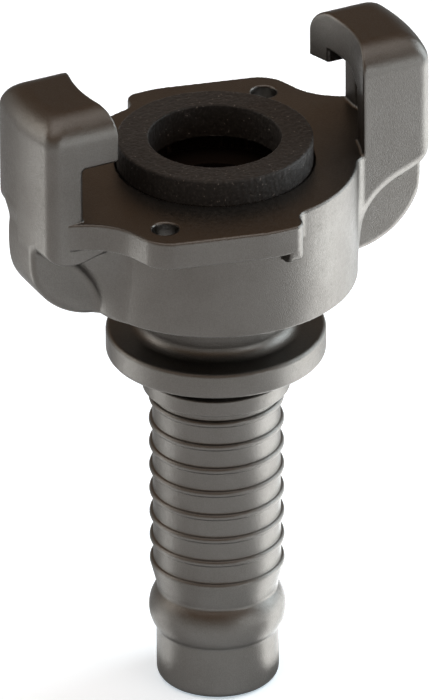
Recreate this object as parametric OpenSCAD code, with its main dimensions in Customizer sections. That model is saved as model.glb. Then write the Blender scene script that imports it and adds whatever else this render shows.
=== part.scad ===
// Twist-claw hose coupling with a crimp tail for 3/4 in hose.
// It stands on the flat end of its tail, with the two claws up and one claw along +X.

/* [Hose tail] */
// Outside diameter of the plain nose, the size of the hose
nose_d = 19.05; // [18.2:0.05:20]
// Radius round the lower edge of the nose
nose_edge_r = 1.2; // [0.4:0.1:1.3]
// Height of the middle of the bulge
bulge_z = 12.1; // [11:0.1:13.5]
// Diameter over the bulge
bulge_d = 21.3; // [20.8:0.1:22.5]
// Radius of the bulge in section
bulge_round_r = 5.3; // [4.5:0.1:6]
// Concave radius between the nose and the bulge
bulge_root_r = 1.5; // [0.8:0.1:2.2]
// Angle that the straight ramp between those two radii takes off each of them
bulge_ramp_turn = 5; // [3:0.5:8]
// Height of the lowest ridge
ridge_first_z = 20.4; // [19:0.1:22]
// Distance from one ridge to the next
ridge_pitch = 4.09; // [3.2:0.01:5]
// Number of ridges
ridge_count = 8; // [4:1:10]
// Diameter over the ridges
ridge_d = 20.96; // [20.4:0.02:22]
// Radius of a ridge in section
ridge_round_r = 0.55; // [0.4:0.05:0.8]
// Diameter of the lands between the ridges
land_d = 20.06; // [19.4:0.02:20.3]
// Slope of the taper below the ridges, in millimetres of radius for each millimetre of height
taper_slope = 0.25; // [0.15:0.01:0.35]
// Diameter of the air bore
bore_d = 15.5; // [12:0.1:15.7]
// Width of the chamfer at both ends of the bore
bore_chamfer = 0.3; // [0.1:0.05:0.4]

/* [Ferrule stop] */
// Length of the plain land above the top ridge
top_land_len = 2; // [1.2:0.1:4]
// Diameter of the shoulder under the ferrule groove
shoulder_d = 22.94; // [22:0.02:24]
// Length of the shoulder
shoulder_len = 2.7; // [1.5:0.1:4]
// Diameter at the bottom of the ferrule groove
groove_d = 19.6; // [18.6:0.1:21]
// Width of the ferrule groove
groove_len = 3.4; // [2.5:0.1:5]
// Diameter of the collar
collar_d = 34.08; // [30:0.02:38]
// Thickness of the collar
collar_len = 4.3; // [3:0.1:6]
// Radius round the edges of the collar
collar_edge_r = 0.7; // [0.3:0.1:1.4]
// Diameter of the neck
neck_d = 23.2; // [21:0.1:26]
// Length of the neck
neck_len = 9; // [6:0.1:14]
// Concave radius at both ends of the neck
neck_root_r = 1.8; // [0.8:0.1:2.6]

/* [Head] */
// Diameter of the head
head_d = 43.9; // [42:0.1:45]
// Height of the head, from its underside to its face
head_len = 19.5; // [19.4:0.1:24]
// Radius round the edge of the face
face_edge_r = 0.4; // [0.2:0.05:0.8]
// Diameter of the gasket seat in the face
seat_d = 30.6; // [29.6:0.1:32]
// Depth of the gasket seat
seat_depth = 4.6; // [4:0.1:6]
// Diameter of the undercut that holds the foot of the gasket
undercut_d = 33; // [32.2:0.1:35]
// Height of the undercut
undercut_len = 2.2; // [1.6:0.1:2.8]

/* [Claws] */
// Width of a claw
claw_w = 18.72; // [17:0.02:20]
// Radius of the inner face of a claw, from the axis
claw_inner_r = 22.77; // [22.6:0.01:23.6]
// Radius of the outer face of a claw, from the axis
claw_outer_r = 33.8; // [33:0.1:36]
// Height of a claw above the face
claw_top = 17.6; // [16.4:0.1:20]
// Radius round the top edges of a claw
claw_top_r = 4.5; // [3:0.1:5]
// Radius round the upright outer corners of a claw
claw_corner_r = 1.45; // [0.6:0.05:2]
// Distance from the axis to the outer wall of the hook pocket
pocket_x = 27; // [26.4:0.1:28]
// How far the hook pocket runs in from the open side of the claw
pocket_len = 13.36; // [11:0.02:14.5]
// Height of the hook pocket above the face
pocket_h = 11.2; // [10:0.1:12]
// Radius at the closed upper end of the hook pocket
pocket_end_r = 4.6; // [2:0.1:6]
// Radius along the long corners of the hook pocket
pocket_corner_r = 0.6; // [0.3:0.1:1]
// Height of the tooth above the face
tooth_h = 8.9; // [8.2:0.1:9.8]
// Length of the tooth along the claw
tooth_len = 4.06; // [3:0.02:5.5]

/* [Claw foot] */
// Depth of the claw below the face on its open side
foot_depth = 7.3; // [6.6:0.1:8.4]
// Distance from the axis to the lowest point of the open side
foot_edge_x = 28.3; // [27:0.1:30]
// Radius of the outer lower edge on the open side
foot_edge_r = 7; // [5:0.1:7.5]
// Slope of the underside on the open side, from its lowest point up to the head
foot_slope = 15; // [8:0.5:20]
// Depth of the claw below the face on its closed side, at its outer edge
flare_depth = 4.4; // [3.8:0.1:5]
// Radius round the outer lower edge on the closed side
flare_edge_r = 3.5; // [2:0.1:3.5]
// Slope of the underside on the closed side
flare_slope = 21.8; // [14:0.2:26]
// Concave radius from the underside down towards the head on the closed side
flare_root_r = 10; // [6:0.1:11]
// Slope from upright of the lower stretch of the flare
flare_root_slope = 16.6; // [10:0.2:20]
// Depth below the face where the flare runs out on the head
flare_end_depth = 17; // [15.5:0.1:18.4]
// How far that flare reaches past the middle of the claw towards its open side
flare_open_w = 7; // [5:0.1:8.5]
// Half width of the rib under a claw
rib_half_w = 4.4; // [3.6:0.1:5]
// Radius of the lower edge of the rib
rib_round_r = 12.6; // [11.6:0.1:12.6]
// Distance from the axis to the middle of that radius
rib_round_x = 21.4; // [20.4:0.1:22]
// Depth below the face of the middle of that radius
rib_round_depth = 6.8; // [6:0.1:7.2]
// Radius along the two lower edges of the rib
rib_edge_r = 1.1; // [0.4:0.1:1.6]
// Thickness of the web that ties the rib to the head
rib_web_t = 6; // [1:0.1:7.4]
// Distance from the axis to the upper end of the clear space between the rib and the head
rib_roof_x = 25.4; // [24.6:0.1:25.8]
// Radius of the inner edge of the rib, where it stands clear of the head
rib_inner_r = 10.65; // [9:0.05:12]
// Distance from the axis to the middle of the inner edge
rib_inner_x = 32.4; // [31.4:0.1:33.4]
// Depth below the face of the middle of the inner edge
rib_inner_depth = 18.7; // [17.6:0.1:19.4]
// Radius round the inner edge of the rib
rib_inner_edge_r = 2.4; // [1:0.1:3]

/* [Ears] */
// Thickness of an ear
ear_t = 4.55; // [3.8:0.05:5]
// Distance from the axis to the straight edge of an ear
ear_edge_dist = 25.5; // [25:0.1:26.4]
// Direction of that edge's outward normal, from the claw's own direction
ear_edge_angle = 77; // [72:1:82]
// Distance from the axis to the side of the ear next to its claw
ear_side_dist = 25.75; // [25.2:0.05:26.4]
// Direction of that side's outward normal
ear_side_angle = 17.4; // [13:0.2:22]
// Radius round the corner of an ear
ear_corner_r = 2.5; // [1:0.1:4]
// Concave radius between an ear and its claw
ear_root_r = 6.5; // [4:0.1:7.5]
// Radius of the free end of an ear, from the axis
ear_tip_r = 25.6; // [25.1:0.1:26.2]
// Distance from the middle of the straight edge to the free end of an ear
ear_tip_len = 8.4; // [7:0.1:10]
// Radius round the upright corner of the free end
ear_tip_corner_r = 1.45; // [0.6:0.05:2]
// Depth below the face of the stop lip at the free end
lip_depth = 7; // [6:0.1:7.6]
// Distance from the middle of the claws to the near side of the stop lip
lip_x = 0.3; // [0.1:0.05:0.9]
// Radius round the outer lower edge of the stop lip
lip_edge_r = 3.2; // [1:0.1:3.4]
// Diameter of the safety pin hole
pin_hole_d = 4; // [3:0.1:4.6]
// Distance from the axis to the safety pin hole
pin_hole_dist = 23.76; // [23.2:0.02:24.4]
// Direction of the safety pin hole, from the claw's own direction
pin_hole_angle = 45; // [42:1:50]

/* [Gasket] */
// Outside diameter of the gasket above the face
gasket_d = 30.35; // [29.2:0.05:31.6]
// Diameter of the hole in the gasket
gasket_hole_d = 20.4; // [18:0.1:22]
// How far the gasket stands above the face
gasket_proud = 4.14; // [3:0.02:5]
// Clearance between the gasket's foot and the undercut, on the radius and on top
gasket_clear = 0.2; // [0.1:0.05:0.4]
// Diameter of the hollow under the lip of the gasket
gasket_hollow_d = 26; // [24:0.1:27]
// Height of the hollow under the lip of the gasket
gasket_hollow_len = 3.3; // [2:0.1:4]
// Radius round the outer top edge of the gasket
gasket_edge_r = 0.3; // [0.1:0.05:0.6]

/* [Hidden] */
$fn = 96;
steel_colour = [0.52, 0.50, 0.47];
rubber_colour = [0.13, 0.13, 0.13];
// Slack that lets a cutting shape run past the surface it cuts
slack = 1;
// How far a shape that joins the head reaches inside it
bite = 3;

ridge_last_z = ridge_first_z + (ridge_count - 1) * ridge_pitch;
shoulder_z = ridge_last_z + top_land_len;
groove_z = shoulder_z + shoulder_len;
collar_z = groove_z + groove_len;
neck_z = collar_z + collar_len;
head_z = neck_z + neck_len;
face_z = head_z + head_len;
seat_z = face_z - seat_depth;
undercut_z = seat_z + undercut_len;

claw_half_w = claw_w / 2;
head_r = head_d / 2;
root_x = head_r - bite;
// Least width of the flat ring that the tail stands on
nose_flat = 0.2;

// Where two lines meet, each given by the direction of its normal and its distance from the axis
function meet(a1, d1, a2, d2) =
    [d1 * sin(a2) - d2 * sin(a1), d2 * cos(a1) - d1 * cos(a2)] / sin(a2 - a1);
// A point that lies a given distance along a direction
function polar(a, d) = [d * cos(a), d * sin(a)];

// Half of a plain disc in section, with its lower and upper outer corners rounded
module disc_section(r, z0, z1, low_r, high_r) {
    translate([0, z0 + low_r]) square([r, z1 - z0 - low_r - high_r]);
    if (low_r > 0) {
        translate([0, z0]) square([r - low_r, low_r]);
        translate([r - low_r, z0 + low_r]) circle(r = low_r);
    }
    if (high_r > 0) {
        translate([0, z1 - high_r]) square([r - high_r, high_r]);
        translate([r - high_r, z1 - high_r]) circle(r = high_r);
    }
}

// Concave corner fill in section, above a flat at z when up is 1 and below it when up is -1
module root_section(r, z, fill_r, up) {
    difference() {
        translate([r - slack, up > 0 ? z - slack : z - fill_r])
            square([fill_r + slack, fill_r + slack]);
        translate([r + fill_r, z + up * fill_r]) circle(r = fill_r);
    }
}

// The bulge near the end of the tail, with its concave root on the nose
module bulge_section() {
    mid = [bulge_d / 2 - bulge_round_r, bulge_z];
    reach = bulge_round_r + bulge_root_r;
    root_run = nose_d / 2 + bulge_root_r - mid[0];
    ramp = bulge_ramp_turn - acos(root_run / reach);
    ramp_len = (root_run - reach * cos(ramp)) / sin(ramp);
    root_mid = mid + polar(ramp, reach) + polar(ramp - 90, ramp_len);
    translate(mid) circle(r = bulge_round_r);
    difference() {
        polygon([
            mid,
            mid + polar(ramp, bulge_round_r),
            root_mid - polar(ramp, bulge_root_r),
            [nose_d / 2, root_mid[1]],
            [mid[0], root_mid[1]]
        ]);
        translate(root_mid) circle(r = bulge_root_r);
    }
}

// The tail from its nose to the top ridge
module tail_section() {
    taper_top_r = ridge_d / 2;
    wall = (nose_d - bore_d) / 2;
    disc_section(nose_d / 2, 0, bulge_z, min(nose_edge_r, wall - bore_chamfer - nose_flat), 0);
    bulge_section();
    polygon([
        [0, bulge_z],
        [taper_top_r - taper_slope * (ridge_first_z - bulge_z), bulge_z],
        [taper_top_r, ridge_first_z],
        [0, ridge_first_z]
    ]);
    translate([0, ridge_first_z]) square([land_d / 2, shoulder_z - ridge_first_z + slack]);
    for (i = [0 : ridge_count - 1])
        translate([ridge_d / 2 - ridge_round_r, ridge_first_z + i * ridge_pitch]) circle(r = ridge_round_r);
}

// The shoulder, the ferrule groove, the collar and the neck
module stop_section() {
    disc_section(shoulder_d / 2, shoulder_z, groove_z, 0, 0);
    translate([0, groove_z - slack]) square([groove_d / 2, groove_len + 2 * slack]);
    disc_section(collar_d / 2, collar_z, neck_z, collar_edge_r, collar_edge_r);
    translate([0, neck_z - slack]) square([neck_d / 2, neck_len + 2 * slack]);
    root_section(neck_d / 2, neck_z, neck_root_r, 1);
    root_section(neck_d / 2, head_z, neck_root_r, -1);
}

// Everything of the body that is turned about the axis, before it is bored
module turned_blank() {
    rotate_extrude() {
        tail_section();
        stop_section();
        disc_section(head_r, head_z, face_z, 0, face_edge_r);
    }
}

// The air bore, the gasket seat and its undercut
module bored_passage() {
    bore_r = bore_d / 2;
    translate([0, 0, -slack]) cylinder(d = bore_d, h = face_z + 2 * slack);
    translate([0, 0, -slack])
        cylinder(r1 = bore_r + bore_chamfer + slack, r2 = bore_r, h = bore_chamfer + slack);
    translate([0, 0, seat_z - bore_chamfer])
        cylinder(r1 = bore_r, r2 = bore_r + bore_chamfer + slack, h = bore_chamfer + slack);
    translate([0, 0, seat_z]) cylinder(d = undercut_d, h = undercut_len);
    translate([0, 0, seat_z]) cylinder(d = seat_d, h = seat_depth + slack);
}

// Plan of a claw from the axis outwards, with its upright outer corners rounded
module claw_plan() {
    centre_y = claw_half_w - claw_corner_r;
    centre_x = sqrt(pow(claw_outer_r - claw_corner_r, 2) - pow(centre_y, 2));
    wedge = 2 * claw_outer_r / centre_x;
    translate([0, -claw_half_w]) square([centre_x, claw_w]);
    intersection() {
        circle(r = claw_outer_r);
        polygon([[0, 0], wedge * [centre_x, -centre_y], wedge * [centre_x, centre_y]]);
    }
    for (side = [-1, 1]) translate([centre_x, side * centre_y]) circle(r = claw_corner_r);
}

// A section in X and Z, carried along Y from y0 to y1
module along_y(y0, y1) {
    translate([0, y1, 0]) rotate([90, 0, 0]) linear_extrude(height = y1 - y0) children();
}

// A section in Y and Z, carried along X from x0 to x1
module along_x(x0, x1) {
    translate([x0, 0, 0]) rotate([90, 0, 90]) linear_extrude(height = x1 - x0) children();
}

// The part of a claw above the face, before its pocket is cut
module claw_hook() {
    shoulder_w = claw_half_w - claw_top_r;
    difference() {
        intersection() {
            linear_extrude(height = claw_top) claw_plan();
            rotate_extrude() disc_section(claw_outer_r, -slack, claw_top, 0, claw_top_r);
            along_x(0, claw_outer_r + slack) {
                translate([-claw_half_w, -slack]) square([claw_w, claw_top - claw_top_r + slack]);
                translate([-shoulder_w, -slack]) square([2 * shoulder_w, claw_top + slack]);
                for (side = [-1, 1])
                    translate([side * shoulder_w, claw_top - claw_top_r]) circle(r = claw_top_r);
            }
        }
        translate([0, 0, -slack]) cylinder(r = claw_inner_r, h = claw_top + 2 * slack);
    }
}

// A stretch of the hook pocket in X and Z, with its two long corners rounded
module pocket_section(height) {
    translate([root_x, 0]) square([pocket_x - pocket_corner_r - root_x, height]);
    translate([root_x, pocket_corner_r]) square([pocket_x - root_x, height - 2 * pocket_corner_r]);
    for (z = [pocket_corner_r, height - pocket_corner_r])
        translate([pocket_x - pocket_corner_r, z]) circle(r = pocket_corner_r);
}

// The hook pocket, with the tooth left standing at its mouth
module hook_pocket() {
    end_y = claw_half_w - pocket_len;
    tooth_y = claw_half_w - tooth_len;
    intersection() {
        along_y(end_y, tooth_y + slack) pocket_section(pocket_h);
        along_x(0, claw_outer_r) {
            translate([end_y, -slack]) square([pocket_len, pocket_h - pocket_end_r + slack]);
            translate([end_y + pocket_end_r, -slack])
                square([tooth_y - end_y - pocket_end_r, pocket_h + slack]);
            translate([end_y + pocket_end_r, pocket_h - pocket_end_r]) circle(r = pocket_end_r);
        }
    }
    along_y(tooth_y - slack, claw_half_w + slack) pocket_section(tooth_h);
}

// Distance from the origin to a line through a point, given the direction of its normal
function offset_of(a, p) = p[0] * cos(a) + p[1] * sin(a);

// Underside of a claw on its open side, in X and Z below the face
module foot_section() {
    edge_z = foot_edge_r - foot_depth;
    low = [foot_edge_x, edge_z] + polar(-90 - foot_slope, foot_edge_r);
    polygon([
        [root_x, slack],
        [claw_outer_r, slack],
        [claw_outer_r, edge_z],
        [foot_edge_x, edge_z],
        low,
        [root_x, low[1] + tan(foot_slope) * (low[0] - root_x)]
    ]);
    translate([foot_edge_x, edge_z]) circle(r = foot_edge_r);
}

// Underside of a claw on its closed side, which flares down the head, in X and Z below the face
module flare_section() {
    end = [sqrt(pow(head_r, 2) - pow(claw_half_w, 2)), -flare_end_depth];
    under = flare_slope - 90;
    wall = -flare_root_slope;
    edge_low = [claw_outer_r - flare_edge_r, -flare_depth];
    tip_z = edge_low[1] + tan(flare_slope) * flare_edge_r;
    root_mid = meet(under, offset_of(under, edge_low) + flare_root_r, wall, offset_of(wall, end) + flare_root_r);
    buried_end = end + polar(wall - 90, slack);
    difference() {
        polygon([
            [root_x, slack],
            [claw_outer_r, slack],
            [claw_outer_r, tip_z],
            root_mid - polar(under, flare_root_r),
            root_mid - polar(wall, flare_root_r),
            buried_end,
            [root_x, buried_end[1]]
        ]);
        translate(root_mid) circle(r = flare_root_r);
    }
}

// Everything inside the round at the outer lower edge on the closed side
module flare_round() {
    rotate_extrude() {
        disc_section(claw_outer_r, -flare_depth, slack, flare_edge_r, 0);
        translate([0, -head_len]) square([claw_outer_r - flare_edge_r, head_len]);
    }
}

// A disc that stands on edge across the middle of a claw, with the edges of its two faces rounded
module upright_disc(x, z, r, closed_edge_r, open_edge_r) {
    translate([x, rib_half_w, z]) rotate([90, 0, 0])
        rotate_extrude() disc_section(r, 0, 2 * rib_half_w, open_edge_r, closed_edge_r);
}

// The curved rib under a claw, which stands clear of the head on the open side
module claw_rib() {
    roof_z = sqrt(pow(rib_inner_r, 2) - pow(rib_inner_x - rib_roof_x, 2)) - rib_inner_depth;
    intersection() {
        translate([0, 0, -head_len]) cylinder(r = claw_outer_r, h = head_len);
        upright_disc(rib_round_x, -rib_round_depth, rib_round_r, rib_edge_r, rib_edge_r);
        union() {
            along_y(-rib_half_w, rib_web_t - rib_half_w)
                translate([root_x, -head_len]) square([claw_outer_r, head_len]);
            along_y(-rib_half_w, rib_half_w) translate([rib_roof_x, roof_z]) square([claw_outer_r, -roof_z]);
            upright_disc(rib_inner_x, -rib_inner_depth, rib_inner_r, 0, rib_inner_edge_r);
        }
    }
}

// The part of a claw below the face
module claw_foot() {
    intersection() {
        translate([0, 0, -head_len]) linear_extrude(height = head_len) claw_plan();
        union() {
            along_y(-slack, claw_half_w) foot_section();
            intersection() {
                along_y(-claw_half_w, flare_open_w) flare_section();
                flare_round();
            }
        }
    }
    claw_rib();
}

// One claw, with the face at height 0
module claw() {
    difference() {
        union() {
            claw_hook();
            claw_foot();
        }
        hook_pocket();
    }
}

// Plan of the free end of an ear, with the straight edge turned along X
module ear_tip_plan() {
    corner_u = ear_tip_corner_r - ear_tip_len;
    corner_v = sqrt(pow(ear_tip_r - ear_tip_corner_r, 2) - pow(corner_u, 2));
    intersection() {
        circle(r = ear_tip_r);
        polygon([[0, 0], 2 * [corner_u, corner_v], [slack, 2 * corner_v], [slack, 0]]);
        translate([-ear_tip_r, 0]) square([ear_tip_r + slack, ear_edge_dist]);
    }
    translate([-ear_tip_len, 0]) square([ear_tip_len, corner_v]);
    translate([corner_u, corner_v]) circle(r = ear_tip_corner_r);
}

// Plan of an ear from its root at the claw to its free end
module ear_plan() {
    side = [ear_side_angle, ear_side_dist];
    edge = [ear_edge_angle, ear_edge_dist];
    corner = meet(side[0], side[1] - ear_corner_r, edge[0], edge[1] - ear_corner_r);
    root = meet(side[0], side[1] + ear_root_r, 90, claw_half_w + ear_root_r);
    difference() {
        polygon([
            [0, 0],
            [root[0], 0],
            [root[0], claw_half_w],
            root - polar(side[0], ear_root_r),
            corner + polar(side[0], ear_corner_r),
            corner + polar(edge[0], ear_corner_r),
            polar(edge[0], edge[1])
        ]);
        translate(root) circle(r = ear_root_r);
    }
    translate(corner) circle(r = ear_corner_r);
    rotate(ear_edge_angle - 90) ear_tip_plan();
}

// One ear with its stop lip, with the face at height 0
module ear() {
    translate([0, 0, -ear_t]) linear_extrude(height = ear_t) ear_plan();
    intersection() {
        translate([0, 0, -lip_depth]) linear_extrude(height = lip_depth) ear_plan();
        translate([-ear_tip_r - lip_x, 0, -lip_depth]) cube([ear_tip_r, ear_tip_r, lip_depth]);
        rotate_extrude() disc_section(ear_tip_r, -lip_depth, 0, lip_edge_r, 0);
    }
}

// The cast body in one piece
module coupling_body() {
    color(steel_colour) difference() {
        union() {
            turned_blank();
            for (turn = [0, 180]) translate([0, 0, face_z]) rotate(turn) {
                claw();
                ear();
            }
        }
        bored_passage();
        for (turn = [0, 180]) rotate(turn)
            translate([each polar(pin_hole_angle, pin_hole_dist), face_z - lip_depth])
                cylinder(d = pin_hole_d, h = lip_depth + slack);
    }
}

// The rubber gasket, seated on the floor of its recess
module gasket() {
    foot_r = undercut_d / 2 - gasket_clear;
    height = seat_depth + gasket_proud;
    color(rubber_colour) translate([0, 0, seat_z]) rotate_extrude() difference() {
        union() {
            disc_section(gasket_d / 2, 0, height, 0, gasket_edge_r);
            square([foot_r, undercut_len - gasket_clear]);
        }
        translate([0, -slack]) square([gasket_hole_d / 2, height + 2 * slack]);
        translate([0, -slack]) square([gasket_hollow_d / 2, gasket_hollow_len + slack]);
    }
}

coupling_body();
gasket();
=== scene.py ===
import math

import bpy
import numpy as np
from mathutils import Matrix, Vector


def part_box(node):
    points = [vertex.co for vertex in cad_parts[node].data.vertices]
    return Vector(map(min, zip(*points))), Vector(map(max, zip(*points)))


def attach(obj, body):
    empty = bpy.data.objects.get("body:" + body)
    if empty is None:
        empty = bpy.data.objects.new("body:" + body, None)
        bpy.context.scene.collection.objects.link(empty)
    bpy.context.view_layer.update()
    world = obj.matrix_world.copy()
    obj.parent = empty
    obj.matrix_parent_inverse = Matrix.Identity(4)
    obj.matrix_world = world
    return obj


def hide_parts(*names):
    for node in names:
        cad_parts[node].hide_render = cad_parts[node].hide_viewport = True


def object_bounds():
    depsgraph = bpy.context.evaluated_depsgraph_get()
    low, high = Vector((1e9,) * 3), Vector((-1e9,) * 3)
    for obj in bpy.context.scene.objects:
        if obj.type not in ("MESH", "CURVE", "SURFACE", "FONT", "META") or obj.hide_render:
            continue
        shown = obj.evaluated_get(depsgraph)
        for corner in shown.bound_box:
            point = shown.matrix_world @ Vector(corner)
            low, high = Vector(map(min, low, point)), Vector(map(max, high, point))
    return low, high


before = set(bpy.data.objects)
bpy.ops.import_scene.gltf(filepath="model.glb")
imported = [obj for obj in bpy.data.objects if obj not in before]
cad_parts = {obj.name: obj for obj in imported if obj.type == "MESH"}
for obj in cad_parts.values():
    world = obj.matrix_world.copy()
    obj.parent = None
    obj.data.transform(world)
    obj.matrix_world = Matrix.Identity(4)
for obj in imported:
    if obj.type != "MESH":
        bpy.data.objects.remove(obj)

bl_info = {
    "name": "Twist-claw hose coupling",
    "version": (1, 0, 0),
    "blender": (4, 5, 0),
    "location": "3D View > Sidebar > Coupling",
    "description": "Cast twist-claw hose coupling with a crimp tail and its gasket",
    "category": "Add Mesh",
}

CAD_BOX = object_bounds()
GASKET_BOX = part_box("gasket")
MM = 0.001

# Depth of the gasket's seat and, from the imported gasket's underside, height of the face, in millimetres.
SEAT_DEPTH = 4.6
FACE_Z = GASKET_BOX[0][2] / MM + SEAT_DEPTH

# A distance in millimetres beyond every form here.
FAR_OFF = 50.0

# How far the tail widens for each millimetre between the bulge and the first ridge.
TAPER = 0.25

# The camera's level directions, away from it and to its right.
AHEAD = (0.443, 0.8965)
RIGHT = (0.8965, -0.443)


# Sizes and colours

def size(name, description, mm):
    """A length that the panel shows, given in millimetres and kept in metres."""
    return bpy.props.FloatProperty(
        name=name, description=description, default=mm * MM, unit="LENGTH", precision=5)


def share(name, description, default):
    """A number from 0 to 1 that the panel shows."""
    return bpy.props.FloatProperty(
        name=name, description=description, default=default, min=0.0, max=1.0, subtype="FACTOR")


def tint(name, description, rgb):
    """A linear colour that the panel shows."""
    return bpy.props.FloatVectorProperty(
        name=name, description=description, default=rgb, size=3, min=0.0, max=1.0, subtype="COLOR")


class HeadSizes(bpy.types.PropertyGroup):
    head_d: size("Head diameter", "Diameter of the round head", 43.9)
    head_len: size("Head length", "Height of the head from its underside to its face", 19.5)
    face_z: size("Face height", "Height of the face above the end of the tail", FACE_Z)
    claw_w: size("Claw width", "Width of a claw", 18.72)
    claw_inner_r: size("Claw inner radius", "Inner face of a claw, from the axis", 22.77)
    claw_outer_r: size("Claw outer radius", "Outer face of a claw, from the axis", CAD_BOX[1][0] / MM)
    claw_top: size("Claw height", "Height of a claw above the face", CAD_BOX[1][2] / MM - FACE_Z)
    claw_top_r: size("Claw top round", "Radius round the top edges of a claw", 4.5)
    claw_corner_r: size("Claw corner round", "Radius round the upright outer corners of a claw", 1.45)
    pocket_x: size("Pocket reach", "Outer wall of a hook pocket, from the axis", 27.0)
    pocket_len: size("Pocket length", "How far a hook pocket runs in", 13.36)
    pocket_h: size("Pocket height", "Height of a hook pocket above the face", 11.2)
    tooth_h: size("Tooth height", "Height of the tooth above the face", 8.9)
    tooth_len: size("Tooth length", "Length of the tooth along the claw", 4.06)
    foot_r: size("Foot radius", "Radius of the foot's underside on the open side of a claw", 7.0)
    rib_half_w: size("Rib half width", "Half the width of the rib under a claw", 4.4)
    rib_round_r: size("Rib radius", "Radius of the lower edge of the rib", 12.6)
    ear_t: size("Ear thickness", "Thickness of an ear", 4.55)
    ear_tip_r: size("Ear tip radius", "Outer edge of an ear at its free end, from the axis", 25.6)
    ear_end: size("Ear end", "Free end of an ear, along it from its middle", 8.4)
    ear_lip_h: size("Stop lip height", "Lower edge of the stop lip under an ear, below the face", 7.0)
    pin_hole_d: size("Pin hole", "Diameter of a safety pin hole", 4.0)
    pin_hole_r: size("Pin hole radius", "Middle of a pin hole, from the axis", 23.76)
    pin_hole_depth: size("Pin hole depth", "Depth of a pin hole below the face", 6.9)
    seat_d: size("Seat diameter", "Diameter of the gasket seat", 30.6)
    seat_depth: size("Seat depth", "Depth of the gasket seat", SEAT_DEPTH)
    undercut_d: size("Undercut diameter", "Diameter of the groove at the bottom of the seat", 33.0)
    undercut_top: size("Undercut top", "Upper edge of that groove, below the face", 2.4)
    bore_d: size("Bore", "Diameter of the air bore", 15.5)
    neck_d: size("Neck", "Diameter of the neck", 23.2)
    neck_fillet: size("Neck fillet", "Radius at both ends of the neck", 1.8)
    grid: size("Surface grid", "Spacing of the grid that the cast surface is worked out on", 0.33)
    kept_share: share("Kept share", "Share of the head's triangles that is kept", 0.45)


class TailSizes(bpy.types.PropertyGroup):
    nose_d: size("Nose diameter", "Plain end of the tail", 19.05)
    nose_edge_r: size("Nose edge", "Radius round the end of the tail", 1.45)
    bulge_d: size("Bulge diameter", "Diameter over the bulge", 21.3)
    bulge_z: size("Bulge height", "Height of the middle of the bulge", 12.1)
    bulge_r: size("Bulge round", "Radius of the bulge in section", 5.3)
    bulge_root_r: size("Bulge root", "Radius in the corner between nose and bulge", 1.5)
    ridge_d: size("Ridge diameter", "Diameter over the ridges", 20.96)
    land_d: size("Land diameter", "Diameter between the ridges", 19.86)
    ridge_r: size("Ridge round", "Radius of a ridge in section", 0.58)
    ridge_first_z: size("First ridge", "Height of the lowest ridge", 20.4)
    ridge_pitch: size("Ridge pitch", "Distance from one ridge to the next", 4.09)
    ridge_count: bpy.props.IntProperty(name="Ridges", description="Number of ridges", default=8, min=2)
    last_land: size("Last land", "Distance from the highest ridge to the shoulder", 2.0)
    shoulder_d: size("Shoulder diameter", "Shoulder under the ferrule groove", 22.94)
    shoulder_len: size("Shoulder length", "Height of the shoulder", 2.7)
    groove_d: size("Groove diameter", "Bottom of the ferrule groove", 19.6)
    groove_len: size("Groove length", "Height of the ferrule groove", 3.4)
    collar_d: size("Collar diameter", "Diameter of the collar", 34.08)
    collar_len: size("Collar length", "Height of the collar", 4.3)


class GasketSizes(bpy.types.PropertyGroup):
    outer_d: size("Gasket diameter", "Outside of the gasket above its lip", 30.35)
    hole_d: size("Gasket hole", "Diameter of the hole", 20.4)
    proud: size("Gasket height", "How far it stands above the face", GASKET_BOX[1][2] / MM - FACE_Z)
    lip_d: size("Lip diameter", "Outside of the lip in the undercut", 2 * GASKET_BOX[1][0] / MM)
    lip_t: size("Lip thickness", "Thickness of the lip", 2.0)
    relief_d: size("Relief diameter", "Diameter of the wider hole at the bottom", 26.0)
    relief_h: size("Relief height", "Height of the wider hole", 3.3)


class Finish(bpy.types.PropertyGroup):
    steel: tint("Steel", "Colour of the plated steel", (0.120, 0.114, 0.106))
    steel_dark: tint("Steel, dull", "Colour of the duller patches of the plating", (0.088, 0.081, 0.074))
    # The seat colour is painted shade: it darkens the seat's floor and the bore as if shade fell in there.
    seat: tint("Seat", "Colour of the shade_painted gasket seat", (0.020, 0.014, 0.010))
    rubber: tint("Rubber", "Colour of the gasket", (0.0125, 0.0106, 0.0092))
    dust: tint("Dust", "Colour of the specks on the gasket", (0.16, 0.145, 0.13))
    floor: tint("Floor", "Colour of the floor in its own light", (0.9, 0.9, 0.9))
    floor_glow: tint("Floor glow", "Colour that the floor adds where it is seen", (0.72, 0.88, 1.0))
    floor_glow_strength: share("Floor glow strength", "How bright the floor glows where it is seen", 0.46)
    wall: tint("Wall", "Colour of the room's walls, low down", (0.74, 0.72, 0.69))
    room: tint("Room", "Light that comes from the room higher up", (0.35, 0.22, 0.132))
    steel_roughness: share("Steel roughness", "Roughness of the blasted casting", 0.37)
    rubber_roughness: share("Rubber roughness", "Roughness of the gasket", 0.66)


def millimetres(sizes):
    """Every size of a group by name, in millimetres; what isn't a length stays a plain number."""
    found = {}
    for name in sizes.__annotations__:
        unit = MM if sizes.bl_rna.properties[name].unit == "LENGTH" else 1
        found[name] = getattr(sizes, name) / unit
    return found


# Distance functions

# Each gives the distance in millimetres to a surface, negative inside the metal. Places are measured from the
# middle of the face, and s holds the head's sizes.

def cut_round(a, b, r):
    """What two forms share, with radius r along the edge.

    It is the greater distance, and within r of the edge the distance to a circle of radius r in the corner.
    """
    return np.minimum(-r, np.maximum(a, b)) + np.hypot(np.maximum(a + r, 0), np.maximum(b + r, 0))


def join_round(a, b, r):
    """Two forms together, with concave radius r in the corner: the lesser distance, less a circle near it."""
    return np.maximum(r, np.minimum(a, b)) - np.hypot(np.maximum(r - a, 0), np.maximum(r - b, 0))


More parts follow.
